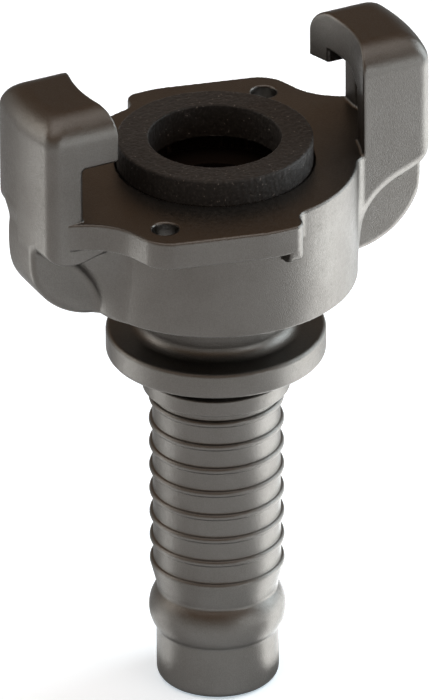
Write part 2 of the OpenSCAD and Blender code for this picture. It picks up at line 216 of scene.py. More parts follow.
def meet_soft(a, b, w):
    """The greater of two distances, raised by w/4 (1 - |a - b|/w)^2 where they differ by less than w."""
    near = np.maximum(1 - np.abs(a - b) / w, 0)
    return np.maximum(a, b) + 0.25 * w * near ** 2


def line_at(u, v, angle, offset):
    """Distance beyond a line whose normal points at angle degrees and that lies offset from the origin."""
    a = math.radians(angle)
    return u * math.cos(a) + v * math.sin(a) - offset


def lines_meet(a1, d1, a2, d2):
    """The point where two such lines cross, from the two line equations."""
    a1, a2 = math.radians(a1), math.radians(a2)
    s = math.sin(a2 - a1)
    return (d1 * math.sin(a2) - d2 * math.sin(a1)) / s, (d2 * math.cos(a1) - d1 * math.cos(a2)) / s


def fillet_lines(u, v, a1, d1, a2, d2, r):
    """Metal inside either of two lines, with an exact arc of radius r in the hollow between them.

    The arc's middle lies r beyond both lines. Between the arc's two feet the distance is r, less the distance
    to that middle, and elsewhere it is the lesser of the two lines' distances.
    """
    cu, cv = lines_meet(a1, d1 + r, a2, d2 + r)
    pu, pv = u - cu, v - cv
    n1, n2 = math.radians(a1), math.radians(a2)
    after_first = -math.cos(n1) * pv + math.sin(n1) * pu >= 0
    before_second = -math.cos(n2) * pv + math.sin(n2) * pu <= 0
    plain = np.minimum(line_at(u, v, a1, d1), line_at(u, v, a2, d2))
    return np.where(after_first & before_second, r - np.hypot(pu, pv), plain)


def foot_underside(s, x, z):
    """Open side of a claw: metal above the lower half of a circle, z = cz - sqrt(r^2 - (x - cx)^2).

    Towards the axis the circle runs into a line that rises at the slope. The height over it is scaled by the
    cosine of the steepness, which makes it nearly a distance.
    """
    cx, cz, r, slope = 28.3, -0.3, s["foot_r"], math.radians(15)
    steepest = 0.93
    u = np.clip((x - cx) / r, -math.sin(slope), steepest)
    arc_z = cz - r * np.sqrt(1 - u * u)
    line_z = arc_z - (x - cx - r * u) * np.where(x < cx, math.tan(slope), 0)
    return (line_z - z) * np.sqrt(1 - u * u)


def flare_underside(x, z):
    """Closed side of a claw: metal above a line that falls towards the axis, an arc and a steep line.

    Each line is given by the angle of its normal and its offset, which is a point's place along that normal.
    """
    under, wall, round_r = 21.8 - 90, -16.6, 10.0
    rim_x, rim_z, under_thicker = 30.3, -4.4, 0.5
    drum_x, drum_z, wall_thicker = 19.855, -17.0, 0.25
    a, b = math.radians(under), math.radians(wall)
    under_at = rim_x * math.cos(a) + rim_z * math.sin(a) + under_thicker
    wall_at = drum_x * math.cos(b) + drum_z * math.sin(b) + wall_thicker
    return fillet_lines(x, z, under, under_at, wall, wall_at, round_r)


def claw_plan(s, x, y):
    """Plan of the claw on +X: the outer cylinder and two flat sides, with softened corners."""
    side = np.abs(y) - s["claw_w"] / 2
    return meet_soft(np.hypot(x, y) - s["claw_outer_r"], side, 1.25 * s["claw_corner_r"])


def open_flare(x, y, z):
    """The flare on the open side: what lies outside a circle in XZ, rounded to a flat front and cut off."""
    circle_x, circle_z, circle_r = 37.8, -20.6, 15.6
    front_y, front_r, low_z, low_edge, top_z, end_x = 9.2, 6.0, -19.1, 0.5, -2.0, 28.4
    wall = circle_r - np.hypot(x - circle_x, z - circle_z)
    flare = cut_round(cut_round(wall, y - front_y, front_r), low_z - z, low_edge)
    return np.maximum(flare, np.maximum(x - end_x, z - top_z))


def claw_form(s, x, y, z):
    """The claw on +X without its rib, and whole, before its inner wall and its pocket are cut.

    The plan is cut off by the top and, lower down, by the foot's circle on the open side (y > 0) or by the
    closed flare's lines. The rib is a disc across Y, cut off below the face and by the outer cylinder.
    """
    inner_r, closed_low_z = 17.0, -17.2
    foot_edge, flare_rim, flare_side, flare_edge = 0.5, 3.3, 0.3, 2.5
    rib_x, rib_z, rib_top_z, rib_edge, rib_end = 21.4, -6.8, -0.5, 1.1, 0.9
    open_root, closed_root = 1.1, 2.2
    r = np.hypot(x, y)
    outer = r - s["claw_outer_r"]
    block = cut_round(claw_plan(s, x, y), z - s["claw_top"], s["claw_top_r"])
    open_low = cut_round(block, foot_underside(s, x, z), foot_edge)
    open_low = np.minimum(open_low, open_flare(x, y, z))
    flare = flare_underside(x, z)
    rim = cut_round(outer, flare, flare_rim)
    closed_low = cut_round(cut_round(block, rim, flare_side), flare, flare_edge)
    closed_low = np.maximum(closed_low, closed_low_z - z)
    low = np.maximum(np.where(y > 0, open_low, closed_low), inner_r - r)
    disc = cut_round(np.hypot(x - rib_x, z - rib_z) - s["rib_round_r"], np.abs(y) - s["rib_half_w"], rib_edge)
    rib = cut_round(disc, np.maximum(outer, z - rib_top_z), rib_end)
    whole = join_round(low, rib, np.where(y > 0, open_root, closed_root))
    return low, np.maximum(whole, outer)


def pocket_form(s, x, y, z):
    """The hook pocket of the claw on +X as a form of its own, open downwards, to the axis and to +Y.

    It is deep behind the tooth and lower in the mouth under the tooth: two rounded corners, joined.
    """
    roof_r, end_r, slant_r, step_r = 0.6, 0.5, 4.6, 0.5
    end_y = s["claw_w"] / 2 - s["pocket_len"]
    tooth_y = s["claw_w"] / 2 - s["tooth_len"]
    wall = x - s["pocket_x"]
    deep = cut_round(cut_round(wall, z - s["pocket_h"], roof_r), end_y - y, end_r)
    deep = np.maximum(deep, cut_round(z - s["pocket_h"], end_y - y, slant_r))
    deep = np.maximum(deep, y - tooth_y)
    mouth = np.maximum(cut_round(wall, z - s["tooth_h"], roof_r), end_y - y)
    return join_round(deep, mouth, step_r)


def along_ear(x, y):
    """Place along the ear on +Y, from its middle towards the claw on +X: x cos t - y sin t, for a turn t."""
    turn = math.radians(13)
    return x * math.cos(turn) - y * math.sin(turn)


def ear_plan(s, x, y, beside):
    """Plan of the ear on +Y of the claw on +X: straight sides and a round tip, joined to the plan beside it.

    The sides are given by their normals' angles and their offsets from the axis.
    """
    side_r, end_r, root_r = 2.5, 1.45, 6.5
    side_angle, side_at = 17.4, 25.75
    edge_angle, edge_at = 77, 25.5
    u = along_ear(x, y)
    side = line_at(x, y, side_angle, side_at)
    edge = line_at(x, y, edge_angle, edge_at)
    edge = np.where(u < 0, np.maximum(edge, np.hypot(x, y) - s["ear_tip_r"]), edge)
    ear = cut_round(cut_round(side, edge, side_r), -s["ear_end"] - u, end_r)
    return np.where(y > 0, join_round(ear, beside, root_r), FAR_OFF)


def stop_lip(s, x, y, z, plan):
    """The stop lip under the free end of the ear on +Y: the ear's plan, deeper, with rounded lower edges."""
    tip_round, end_round, seam = 3.0, 2.2, 0.2
    inner_x, inner_edge = -0.3, 0.4
    under = -s["ear_lip_h"] - z
    tip = cut_round(np.hypot(x, y) - s["ear_tip_r"], under, tip_round)
    end = cut_round(-s["ear_end"] - along_ear(x, y), under, end_round)
    lip = cut_round(cut_round(np.maximum(plan, under), tip, seam), end, seam)
    return cut_round(np.maximum(lip, z), x - inner_x, inner_edge)


def head_form(s, x, y, z):
    """Distance to the cast head, with z from its face.

    Drum, neck, claws and the slab of ears are joined below the face, and only the claws' walls go on above.
    Pin holes, bore, seat and undercut are cut last. The head looks the same after half a turn, so a point on
    -X is turned to +X first.
    """
    drum_edge, ear_edge, face_edge, hole_edge, bore_edge = 0.5, 0.45, 0.42, 0.3, 0.2
    ear_root, foot_root = 1.2, 1.3
    wall_edge, wall_root, claw_edge = 0.45, 0.5, 0.5
    neck_top = -12.0
    flip = x < 0
    x, y = np.where(flip, -x, x), np.where(flip, -y, y)
    r = np.hypot(x, y)
    round_head = r - s["head_d"] / 2
    drum = cut_round(round_head, -s["head_len"] - z, drum_edge)
    body = join_round(drum, np.maximum(r - s["neck_d"] / 2, z - neck_top), s["neck_fillet"])
    low, claw = claw_form(s, x, y, z)
    near = ear_plan(s, x, y, claw_plan(s, x, y))
    far = ear_plan(s, -x, -y, np.full_like(x, FAR_OFF))
    slab = join_round(join_round(round_head, near, ear_root), far, ear_root)
    slab = cut_round(slab, -s["ear_t"] - z, ear_edge)
    lips = np.minimum(stop_lip(s, x, y, z, near), stop_lip(s, -x, -y, z, far))
    below = np.minimum(np.minimum(join_round(body, low, foot_root), slab), np.minimum(lips, claw))
    below = cut_round(below, z, face_edge)
    walls = cut_round(s["claw_inner_r"] - r, -pocket_form(s, x, y, z), wall_edge)
    above = cut_round(claw, join_round(z, walls, wall_root), claw_edge)
    body = np.minimum(below, above)
    hole_x = s["pin_hole_r"] * math.cos(math.radians(45))
    for sign in (1, -1):
        hole = s["pin_hole_d"] / 2 - np.hypot(x - sign * hole_x, y - sign * hole_x)
        body = cut_round(body, np.minimum(hole, z + s["pin_hole_depth"]), hole_edge)
    floor = z + s["seat_depth"]
    bore = s["bore_d"] / 2 - r
    seat = np.minimum(s["seat_d"] / 2 - r, floor)
    undercut = np.minimum(np.minimum(s["undercut_d"] / 2 - r, floor), -s["undercut_top"] - z)
    return cut_round(body, np.maximum(bore, np.maximum(seat, undercut)), bore_edge)


# Surfaces

def surface_net(field, origin, pitch):
    """The zero surface of a sampled distance.

    Each cell that the surface crosses gets one point, the mean of the crossings on its edges. Each grid edge
    that the surface crosses gets one quad through the points of the four cells round it.
    """
    inside = field < 0
    n = np.array(field.shape)
    corners = [(i, j, k) for i in (0, 1) for j in (0, 1) for k in (0, 1)]
    part = lambda a, c: a[c[0]:n[0] - 1 + c[0], c[1]:n[1] - 1 + c[1], c[2]:n[2] - 1 + c[2]]
    total = sum(part(inside, c).astype(np.int8) for c in corners)
    active = (total > 0) & (total < 8)
    cells = np.argwhere(active)
    number = np.full(active.shape, -1, np.int64)
    number[active] = np.arange(len(cells))
    value = np.stack([part(field, c)[active] for c in corners], 1)
    where = np.zeros((len(cells), 3))
    hits = np.zeros(len(cells))
    for a in range(8):
        for b in range(a + 1, 8):
            if sum(abs(p - q) for p, q in zip(corners[a], corners[b])) != 1:
                continue
            va, vb = value[:, a], value[:, b]
            cross = (va < 0) != (vb < 0)
            t = np.where(cross, va / np.where(cross, va - vb, 1), 0)
            spot_at = np.array(corners[a]) + t[:, None] * (np.array(corners[b]) - np.array(corners[a]))
            where += spot_at * cross[:, None]
            hits += cross
    points = origin + pitch * (cells + where / hits[:, None])
    quads = []
    for axis in range(3):
        b, c = (axis + 1) % 3, (axis + 2) % 3
        low = [slice(None)] * 3
        high = [slice(None)] * 3
        low[axis], high[axis] = slice(0, n[axis] - 1), slice(1, n[axis])
        first, second = inside[tuple(low)], inside[tuple(high)]
        change = first != second
        for other in (b, c):
            border = [slice(None)] * 3
            border[other] = [0, n[other] - 1]
            change[tuple(border)] = False
        at = np.argwhere(change)
        step_b, step_c = np.eye(3, dtype=int)[b], np.eye(3, dtype=int)[c]
        ring = [at, at - step_b, at - step_b - step_c, at - step_c]
        quad = np.stack([number[tuple(p.T)] for p in ring], 1)
        outward = first[tuple(at.T)]
        quads.append(np.where(outward[:, None], quad, quad[:, ::-1]))
    return points, np.concatenate(quads)


def slope_of(form, p, step=0.01):
    """Gradient of a distance at points, by central differences: (f(p + h) - f(p - h)) / 2h on each axis."""
    grad = np.empty_like(p)
    for k in range(3):
        d = np.zeros(3)
        d[k] = step
        grad[:, k] = (form(*(p + d).T) - form(*(p - d).T)) / (2 * step)
    return grad


def settle(form, p, rounds):
    """Moves points onto the zero surface by Newton's rule, p - f g / |g|^2, and gives outward normals too."""
    least_size2, longest = 0.05, 0.3
    for _ in range(rounds):
        grad = slope_of(form, p)
        move = -form(*p.T) / np.maximum((grad ** 2).sum(1), least_size2)
        p = p + np.clip(move, -longest, longest)[:, None] * grad
    grad = slope_of(form, p)
    return p, grad / np.maximum(np.linalg.norm(grad, axis=1), 1e-9)[:, None]


def arc(cr, cz, radius, start, end, steps, hollow=False):
    """Section rows (r, z, normal r, normal z) of an arc round (cr, cz) from start to end degrees.

    Each point is the middle plus radius times (cos a, sin a), which is the normal too. A hollow arc has its
    metal outside, and its normals point to the middle.
    """
    a = np.radians(np.linspace(start, end, steps))
    out = np.stack([np.cos(a), np.sin(a)], 1)
    return np.concatenate([np.array([cr, cz]) + radius * out, -out if hollow else out], 1)


def line(r0, z0, r1, z1, steps=2, trim=0.04):
    """Section rows of a straight line, trimmed a little at both ends; the metal lies on its left."""
    length = math.hypot(r1 - r0, z1 - z0)
    along = np.linspace(trim / length, 1 - trim / length, steps)[:, None]
    normal = np.array([[z1 - z0, r0 - r1]]) / length
    points = np.array([[r0, z0]]) + along * np.array([[r1 - r0, z1 - z0]])
    return np.concatenate([points, normal.repeat(steps, 0)], 1)


def bulge_section(t):
    """Section from the nose's end over the bulge to the first ridge.

    The bulge is a circle. A hollow arc that touches it and the nose leads in, and a slanted line that ends at
    the first ridge's crest leads out, from where the circle passes under that line.
    """
    nose, edge, root, bulge_r = t["nose_d"] / 2, t["nose_edge_r"], t["bulge_root_r"], t["bulge_r"]
    mid_r, mid_z = t["bulge_d"] / 2 - bulge_r, t["bulge_z"]
    tangent = math.degrees(math.acos((nose + root - mid_r) / (bulge_r + root)))
    root_z = mid_z - (bulge_r + root) * math.sin(math.radians(tangent))
    turn = np.linspace(0, 80, 800)
    circle_r = mid_r + bulge_r * np.cos(np.radians(turn))
    circle_z = mid_z + bulge_r * np.sin(np.radians(turn))
    leave = np.argmax(circle_r < t["ridge_d"] / 2 - TAPER * (t["ridge_first_z"] - circle_z))
    leave_r, leave_z, rise = circle_r[leave], circle_z[leave], 2.0
    return [arc(nose - edge, edge, edge, -90, 0, 8),
            arc(nose + root, root_z, root, 180, 180 - tangent, 7, hollow=True),
            arc(mid_r, mid_z, bulge_r, -tangent, turn[leave] - 3, 16),
            line(leave_r, leave_z, leave_r + TAPER * rise, leave_z + rise, trim=0.6)]


def ridge_section(t):
    """Section of the ridges: each is an arc between two hollow arcs that touch it and the land.

    They touch at the angle whose cosine is the step between the arcs' middles over their distance.
    """
    land, mid_r, ridge, fillet = t["land_d"] / 2, t["ridge_d"] / 2 - t["ridge_r"], t["ridge_r"], 0.18
    opening = math.degrees(math.acos((land + fillet - mid_r) / (ridge + fillet)))
    reach = (ridge + fillet) * math.sin(math.radians(opening))
    rows = []
    for i in range(round(t["ridge_count"])):
        z = t["ridge_first_z"] + i * t["ridge_pitch"]
        if i > 0:
            rows.append(arc(land + fillet, z - reach, fillet, 180, 180 - opening, 4, hollow=True))
        start = -math.degrees(math.atan(TAPER)) if i == 0 else -opening
        rows.append(arc(mid_r, z, ridge, start, opening, 10))
        rows.append(arc(land + fillet, z + reach, fillet, 180 + opening, 180, 4, hollow=True))
    return rows


def tail_section(t, s, join_z):
    """Outer section of the tail from the nose to the neck, as arcs with straight lines between their ends."""
    land, shoulder, groove = t["land_d"] / 2, t["shoulder_d"] / 2, t["groove_d"] / 2
    collar, neck, fillet = t["collar_d"] / 2, s["neck_d"] / 2, s["neck_fillet"]
    edge, groove_r, collar_r = 0.3, 0.4, 0.7
    shoulder_z = t["ridge_first_z"] + (round(t["ridge_count"]) - 1) * t["ridge_pitch"] + t["last_land"]
    groove_z = shoulder_z + t["shoulder_len"]
    collar_z = groove_z + t["groove_len"]
    neck_z = collar_z + t["collar_len"]
    return np.concatenate(bulge_section(t) + ridge_section(t) + [
        arc(land + edge, shoulder_z - edge, edge, 180, 90, 4, hollow=True),
        arc(shoulder - edge, shoulder_z + edge, edge, -90, 0, 5),
        arc(shoulder - edge, groove_z - edge, edge, 0, 90, 5),
        arc(groove + groove_r, groove_z + groove_r, groove_r, 270, 180, 4, hollow=True),
        arc(groove + groove_r, collar_z - groove_r, groove_r, 180, 90, 4, hollow=True),
        arc(collar - collar_r, collar_z + collar_r, collar_r, -90, 0, 7),
        arc(collar - collar_r, neck_z - collar_r, collar_r, 0, 90, 7),
        arc(neck + fillet, neck_z + fillet, fillet, 270, 180, 9, hollow=True),
        np.array([[neck, join_z, 1.0, 0.0]])])


def gasket_section(g, seat_z, top_z):
    """Closed section of the gasket: along the lip's underside, up outside, over the top and down the hole."""
    outer, hole, lip, relief = g["outer_d"] / 2, g["hole_d"] / 2, g["lip_d"] / 2, g["relief_d"] / 2
    lip_z, relief_z = seat_z + g["lip_t"], seat_z + g["relief_h"]
    outer_edge, hole_edge = 0.4, 0.3
    return np.concatenate([
        line(relief, seat_z, lip, seat_z),
        line(lip, seat_z, lip, lip_z),
        line(lip, lip_z, outer, lip_z),
        line(outer, lip_z, outer, top_z - outer_edge, 44),
        arc(outer - outer_edge, top_z - outer_edge, outer_edge, 0, 90, 6),
        line(outer - outer_edge, top_z, hole + hole_edge, top_z, 36),
        arc(hole + hole_edge, top_z - hole_edge, hole_edge, 90, 180, 5),
        line(hole, top_z - hole_edge, hole, relief_z, 36),
        line(hole, relief_z, relief, relief_z),
        line(relief, relief_z, relief, seat_z)])


def lathe(section, turns):
    """Points and normals of a section turned about Z, (r cos a, r sin a, z), a ring of them for each row."""
    a = np.linspace(0, 2 * np.pi, turns, endpoint=False)

    def spin(r, z):
        up = np.broadcast_to(z[:, None], (len(r), turns))
        return np.stack([r[:, None] * np.cos(a), r[:, None] * np.sin(a), up], 2).reshape(-1, 3)

    return spin(section[:, 0], section[:, 1]), spin(section[:, 2], section[:, 3])


def lathe_quads(rows, turns, closed=False):
    """Quads between neighbouring rings of such a surface, facing outwards where the section runs upwards."""
    i, j = np.meshgrid(np.arange(rows if closed else rows - 1), np.arange(turns), indexing="ij")
    k, up = (j + 1) % turns, (i + 1) % rows
    return np.stack([i * turns + j, i * turns + k, up * turns + k, up * turns + j], 2).reshape(-1, 4)


def creases(p, spacing, seed):
    """Leathery relief from 0 on the pads to 1 in the creases: 1 - |sum of cosines| / 2.2, of uneven waves."""
    waves, pad_level = 14, 2.2
    wave = np.random.default_rng(seed)
    total = np.zeros(len(p))
    for _ in range(waves):
        toward = wave.normal(size=3) * (1.0, 1.0, 0.6) + (0.9, -0.5, 0.3)
        toward *= wave.uniform(0.6, 1.5) / np.linalg.norm(toward)
        total += np.cos(p @ toward * 2 * np.pi / spacing + wave.uniform(0, 2 * np.pi))
    return 1 - np.minimum(np.abs(total) / pad_level, 1.0)


def open_rim(faces):
    """The numbers of the points on open edges: those of the edges that only one face has."""
    sides = faces.shape[1]
    edges = np.concatenate([faces[:, [k, (k + 1) % sides]] for k in range(sides)])
    _, back, count = np.unique(np.sort(edges, 1), axis=0, return_inverse=True, return_counts=True)
    return np.unique(edges[count[back.ravel()] == 1])


def zip_rings(points, low, high):
    """Triangles between two rings round Z; each step takes the next point of either ring, by its angle."""
    turn = lambda ids: np.arctan2(points[ids, 1], points[ids, 0])
    low, high = low[np.argsort(turn(low))], high[np.argsort(turn(high))]
    angle = np.concatenate([turn(low), turn(high)])
    from_low = np.concatenate([np.ones(len(low), bool), np.zeros(len(high), bool)])
    step = from_low[np.argsort(angle, kind="stable")]
    i = np.cumsum(step) - 1
    j = np.cumsum(~step) - 1
    a, b = low[np.roll(i, 1) % len(low)], high[np.roll(j, 1) % len(high)]
    c = np.where(step, low[i % len(low)], high[j % len(high)])
    return np.stack([a, c, b], 1)


def thin_out(points, quads, keep):
    """The same surface with a share keep of its triangles; Decimate joins the flattest ones first."""
    mesh = bpy.data.meshes.new("cast_head")
    mesh.from_pydata(points.tolist(), [], quads.tolist())
    work = bpy.data.objects.new("cast_head", mesh)
    bpy.context.scene.collection.objects.link(work)
    thin = work.modifiers.new("thin", "DECIMATE")
    thin.ratio = keep
    thin.use_collapse_triangulate = True
    made = work.evaluated_get(bpy.context.evaluated_depsgraph_get()).to_mesh()
    left = np.empty(len(made.vertices) * 3, np.float32)
    made.vertices.foreach_get("co", left)
    corners = np.empty(len(made.loops), np.int32)
    made.loops.foreach_get("vertex_index", corners)
    triangles = corners.reshape(-1, 3).astype(np.int64)
    bpy.data.objects.remove(work)
    bpy.data.meshes.remove(mesh)
    return left.reshape(-1, 3).astype(float), triangles


def cast_head(s):
    """The head as points, triangles, normals and its open rim, with z from the face.

    Half of the distance is sampled, on +X, and turned about Z for the other half. The grid ends a little
    below the head, where neck and bore are left open as two rings, which are brought to one height.
    """
    sampled_neck, pitch = 3.6, s["grid"]
    form = lambda x, y, z: head_form(s, x, y, z)
    reach_x, reach_y, reach_z = s["claw_outer_r"] + 1.0, s["ear_tip_r"] + 1.5, s["claw_top"] + 1.0
    low_z = -s["head_len"] - sampled_neck
    nx, ny = int(reach_x / pitch) + 1, int(reach_y / pitch) + 1
    xs, ys = np.arange(-nx, nx + 1) * pitch, np.arange(-ny, ny + 1) * pitch
    zs = low_z + np.arange(int((reach_z - low_z) / pitch) + 2) * pitch
    half = form(*np.meshgrid(xs[nx:], ys, zs, indexing="ij"))
    field = np.concatenate([half[:0:-1, ::-1], half])
    points, quads = surface_net(field, np.array([xs[0], ys[0], zs[0]]), pitch)
    points, _ = settle(form, points, 4)
    points, triangles = thin_out(points, quads, s["kept_share"])
    points, normals = settle(form, points, 2)
    rim = open_rim(triangles)
    points[rim, 2] = low_z + pitch / 2
    return points, triangles, normals, rim


def new_mesh(name, points, quads, triangles=np.empty((0, 3), int), normals=None):
    """A smooth mesh object in metres from whole arrays, with a normal for each point where they are given."""
    mesh = bpy.data.meshes.new(name)
    loops = np.concatenate([quads.ravel(), triangles.ravel()]).astype(np.int32)
    sizes = np.concatenate([np.full(len(quads), 4), np.full(len(triangles), 3)]).astype(np.int32)
    starts = np.concatenate([[0], np.cumsum(sizes)[:-1]]).astype(np.int32)
    mesh.vertices.add(len(points))
    mesh.loops.add(len(loops))
    mesh.polygons.add(len(sizes))
    mesh.vertices.foreach_set("co", (points * MM).astype(np.float32).ravel())
    mesh.loops.foreach_set("vertex_index", loops)
    mesh.polygons.foreach_set("loop_start", starts)
    mesh.update(calc_edges=True)
    mesh.polygons.foreach_set("use_smooth", np.ones(len(sizes), bool))
    if mesh.validate(verbose=False):
        raise RuntimeError("the mesh of " + name + " had faults")
    if normals is not None:
        mesh.normals_split_custom_set_from_vertices(normals.astype(np.float32).tolist())
    piece = bpy.data.objects.new(name, mesh)
    bpy.context.scene.collection.objects.link(piece)
    return piece


# Shader maths

class Socket:
    """A node's socket. Arithmetic on it adds Math nodes, and gives the last one's socket."""

    def __init__(self, tree, socket):
        self.tree = tree
        self.socket = socket

    def math(self, operation, *values):
        """Adds a Math node on this socket and the values."""
        return maths(self.tree, operation, self, *values)

    def __add__(self, other):
        return self.math("ADD", other)

    def __sub__(self, other):
        return self.math("SUBTRACT", other)

    def __rsub__(self, other):
        return maths(self.tree, "SUBTRACT", other, self)

    def __mul__(self, other):
        return self.math("MULTIPLY", other)

    __radd__ = __add__
    __rmul__ = __mul__


def node(tree, kind, settings=None, inputs=None):
    """Adds a node: its settings first, then its sockets' values or links. It gives its outputs as Sockets."""
    made = tree.nodes.new(kind)
    for name, value in (settings or {}).items():
        setattr(made, name, value)
    for name, value in (inputs or {}).items():
        if isinstance(value, Socket):
            tree.links.new(value.socket, made.inputs[name])
        else:
            made.inputs[name].default_value = value
    return [Socket(tree, out) for out in made.outputs]


def maths(tree, operation, *values):
    """A Math node on sockets and numbers."""
    return node(tree, "ShaderNodeMath", {"operation": operation}, dict(enumerate(values)))[0]


def ramp(tree, value, low, high):
    """A value on a scale from 0 at low to 1 at high: (value - low) / (high - low), kept between 0 and 1."""
    return node(tree, "ShaderNodeMapRange", {"clamp": True}, {0: value, 1: low, 2: high, 3: 0.0, 4: 1.0})[0]


def noise(tree, place, scale, detail, rough=0.5):
    """Cloudy noise between 0 and 1, with about scale lumps in a metre."""
    return node(tree, "ShaderNodeTexNoise", None, {
        "Vector": place, "Scale": scale, "Detail": detail, "Roughness": rough})[0]


def mixed(tree, factor, a, b):
    """Two colours mixed: a (1 - factor) + b factor."""
    return node(tree, "ShaderNodeMix", {"data_type": "RGBA"}, {0: factor, 6: a, 7: b})[2]


def rgba(colour):
    """A colour of the panel as a socket's value."""
    return (*colour, 1.0)


def new_material(name):
    """An empty material and its node tree."""
    material = bpy.data.materials.new(name)
    material.use_nodes = True
    material.node_tree.nodes.clear()
    return material, material.node_tree


def steel_material(finish):
    """Plated, blasted casting: metal whose colour and gloss drift in soft patches, with fine grain and pits.

    Painted shade: the seat's floor and the bore under it, where the radius is small and the height great, get
    a dark colour that stands in for the shade in that recess, and are duller.
    """
    material, tree = new_material("blasted_steel")
    place = node(tree, "ShaderNodeTexCoord")[3]
    patch = noise(tree, place, 90.0, 3.0)
    grain = noise(tree, place, 5600.0, 1.0)
    pits = noise(tree, place, 1500.0, 3.0, 0.6)
    dull = ramp(tree, patch, 0.42, 0.66) * 0.35 + ramp(tree, grain, 0.35, 0.65) * 0.45
    colour = mixed(tree, dull, rgba(finish.steel), rgba(finish.steel_dark))
    x, y, z = node(tree, "ShaderNodeSeparateXYZ", None, {0: place})
    radius = (x * x + y * y).math("SQRT")
    # Painted shade: inside a small radius and high up, the colour turns to the dark seat colour, standing in
    # for the shade in the recess.
    seat = (1 - ramp(tree, radius, 0.0125, 0.0135)) * ramp(tree, z, 0.070, 0.080)
    colour = mixed(tree, seat, colour, rgba(finish.seat))
    uneven = 0.10 * ramp(tree, pits, 0.3, 0.7) + 0.05 * ramp(tree, patch, 0.3, 0.7) - 0.07
    bump = node(tree, "ShaderNodeBump", None, {
        "Strength": 0.7, "Distance": 0.00005, "Height": grain + 0.1 * pits})[0]
    shader = node(tree, "ShaderNodeBsdfPrincipled", None, {
        "Base Color": colour, "Metallic": 1.0, "Roughness": finish.steel_roughness + uneven + 0.5 * seat,
        "Normal": bump, "Specular Tint": (0.5, 0.5, 0.5, 1.0)})[0]
    node(tree, "ShaderNodeOutputMaterial", None, {"Surface": shader})
    return material


def rubber_material(finish):
    """Moulded rubber with a leathery skin: slanting folds in bump and gloss, small dents, specks of dust."""
    material, tree = new_material("leathery_rubber")
    place = node(tree, "ShaderNodeTexCoord")[3]
    turned = node(tree, "ShaderNodeMapping", None, {
        "Vector": place, "Rotation": (0.5, 0.4, 0.7), "Scale": (1.0, 2.6, 1.0)})[0]
    folds = noise(tree, turned, 620.0, 3.0)
    dents = node(tree, "ShaderNodeTexVoronoi", None, {"Vector": place, "Scale": 1400.0})[0]
    dust = noise(tree, place, 2300.0, 2.0)
    dusty = 0.10 * ramp(tree, dust, 0.5, 0.7) + ramp(tree, dust, 0.71, 0.75)
    colour = mixed(tree, dusty, rgba(finish.rubber), rgba(finish.dust))
    rough = finish.rubber_roughness + 0.16 * (ramp(tree, folds, 0.3, 0.7) - 0.5)
    bump = node(tree, "ShaderNodeBump", None, {
        "Strength": 0.5, "Distance": 0.0003, "Height": 0.6 * folds + 0.25 * dents})[0]
    shader = node(tree, "ShaderNodeBsdfPrincipled", None, {
        "Base Color": colour, "Roughness": rough, "Specular IOR Level": 0.26, "Normal": bump})[0]
    node(tree, "ShaderNodeOutputMaterial", None, {"Surface": shader})
    return material


def floor_material(finish):
    """Matt floor that also glows, but only where the camera, a reflection or glass looks at it."""
    material, tree = new_material("pale_floor")
    path = node(tree, "ShaderNodeLightPath")
    by_camera, by_gloss, through_glass = path[0], path[3], path[6]
    seen = by_camera.math("MAXIMUM", by_gloss).math("MAXIMUM", through_glass)
    matt = node(tree, "ShaderNodeBsdfDiffuse", None, {"Color": rgba(finish.floor)})[0]
    glow = node(tree, "ShaderNodeEmission", None, {
        "Color": rgba(finish.floor_glow), "Strength": finish.floor_glow_strength * seen})[0]
    shader = node(tree, "ShaderNodeAddShader", None, {0: matt, 1: glow})[0]
    node(tree, "ShaderNodeOutputMaterial", None, {"Surface": shader})
    return material


# Stage

def spot(side, ahead, up):
    """A place given to the camera's right, away from it and up: side times RIGHT plus ahead times AHEAD."""
    return side * RIGHT[0] + ahead * AHEAD[0], side * RIGHT[1] + ahead * AHEAD[1], up


def look(thing, place, aim, roll=0.0):
    """Places a lamp or camera with its -Z towards aim and its +Y as upright as it can be, then rolls it."""
    place, aim = Vector(place), Vector(aim)
    turn = (aim - place).to_track_quat("-Z", "Y").to_matrix() @ Matrix.Rotation(roll, 3, "Z")
    thing.matrix_world = Matrix.Translation(place) @ turn.to_4x4()


def area_lamp(name, width, height, power, colour):
    """A soft rectangular lamp that the camera doesn't see."""
    data = bpy.data.lights.new(name, "AREA")
    data.shape, data.size, data.size_y = "RECTANGLE", width, height
    data.energy, data.color = power, colour
    lamp = bpy.data.objects.new(name, data)
    lamp.visible_camera = False
    bpy.context.scene.collection.objects.link(lamp)
    return lamp


def card_lamp(name, low, high, radiance):
    """A flat lamp just above the floor that shines upwards, between two corners (side, ahead) as in spot.

    Its power is pi times its radiance times its area.
    """
    above_floor, colour = 0.002, (0.94, 0.98, 1.0)
    wide, deep = high[0] - low[0], high[1] - low[1]
    lamp = area_lamp(name, wide, deep, radiance * math.pi * wide * deep, colour)
    middle = spot((low[0] + high[0]) / 2, (low[1] + high[1]) / 2, above_floor)
    level_turn = Matrix.Rotation(math.atan2(RIGHT[1], RIGHT[0]), 4, "Z")
    lamp.matrix_world = Matrix.Translation(middle) @ level_turn @ Matrix.Rotation(math.pi, 4, "X")


def room_light(finish):
    """The world: the wall's colour low down and the room's light above, mixed between two heights."""
    world = bpy.data.worlds.new("room")
    bpy.context.scene.world = world
    world.use_nodes = True
    tree = world.node_tree
    tree.nodes.clear()
    direction = node(tree, "ShaderNodeTexCoord")[0]
    up = node(tree, "ShaderNodeSeparateXYZ", None, {0: direction})[2]
    tone = mixed(tree, ramp(tree, up, 0.16, 0.36), rgba(finish.wall), rgba(finish.room))
    glow = node(tree, "ShaderNodeBackground", None, {"Color": tone, "Strength": 1.0})[0]
    node(tree, "ShaderNodeOutputWorld", None, {"Surface": glow})


# Operators

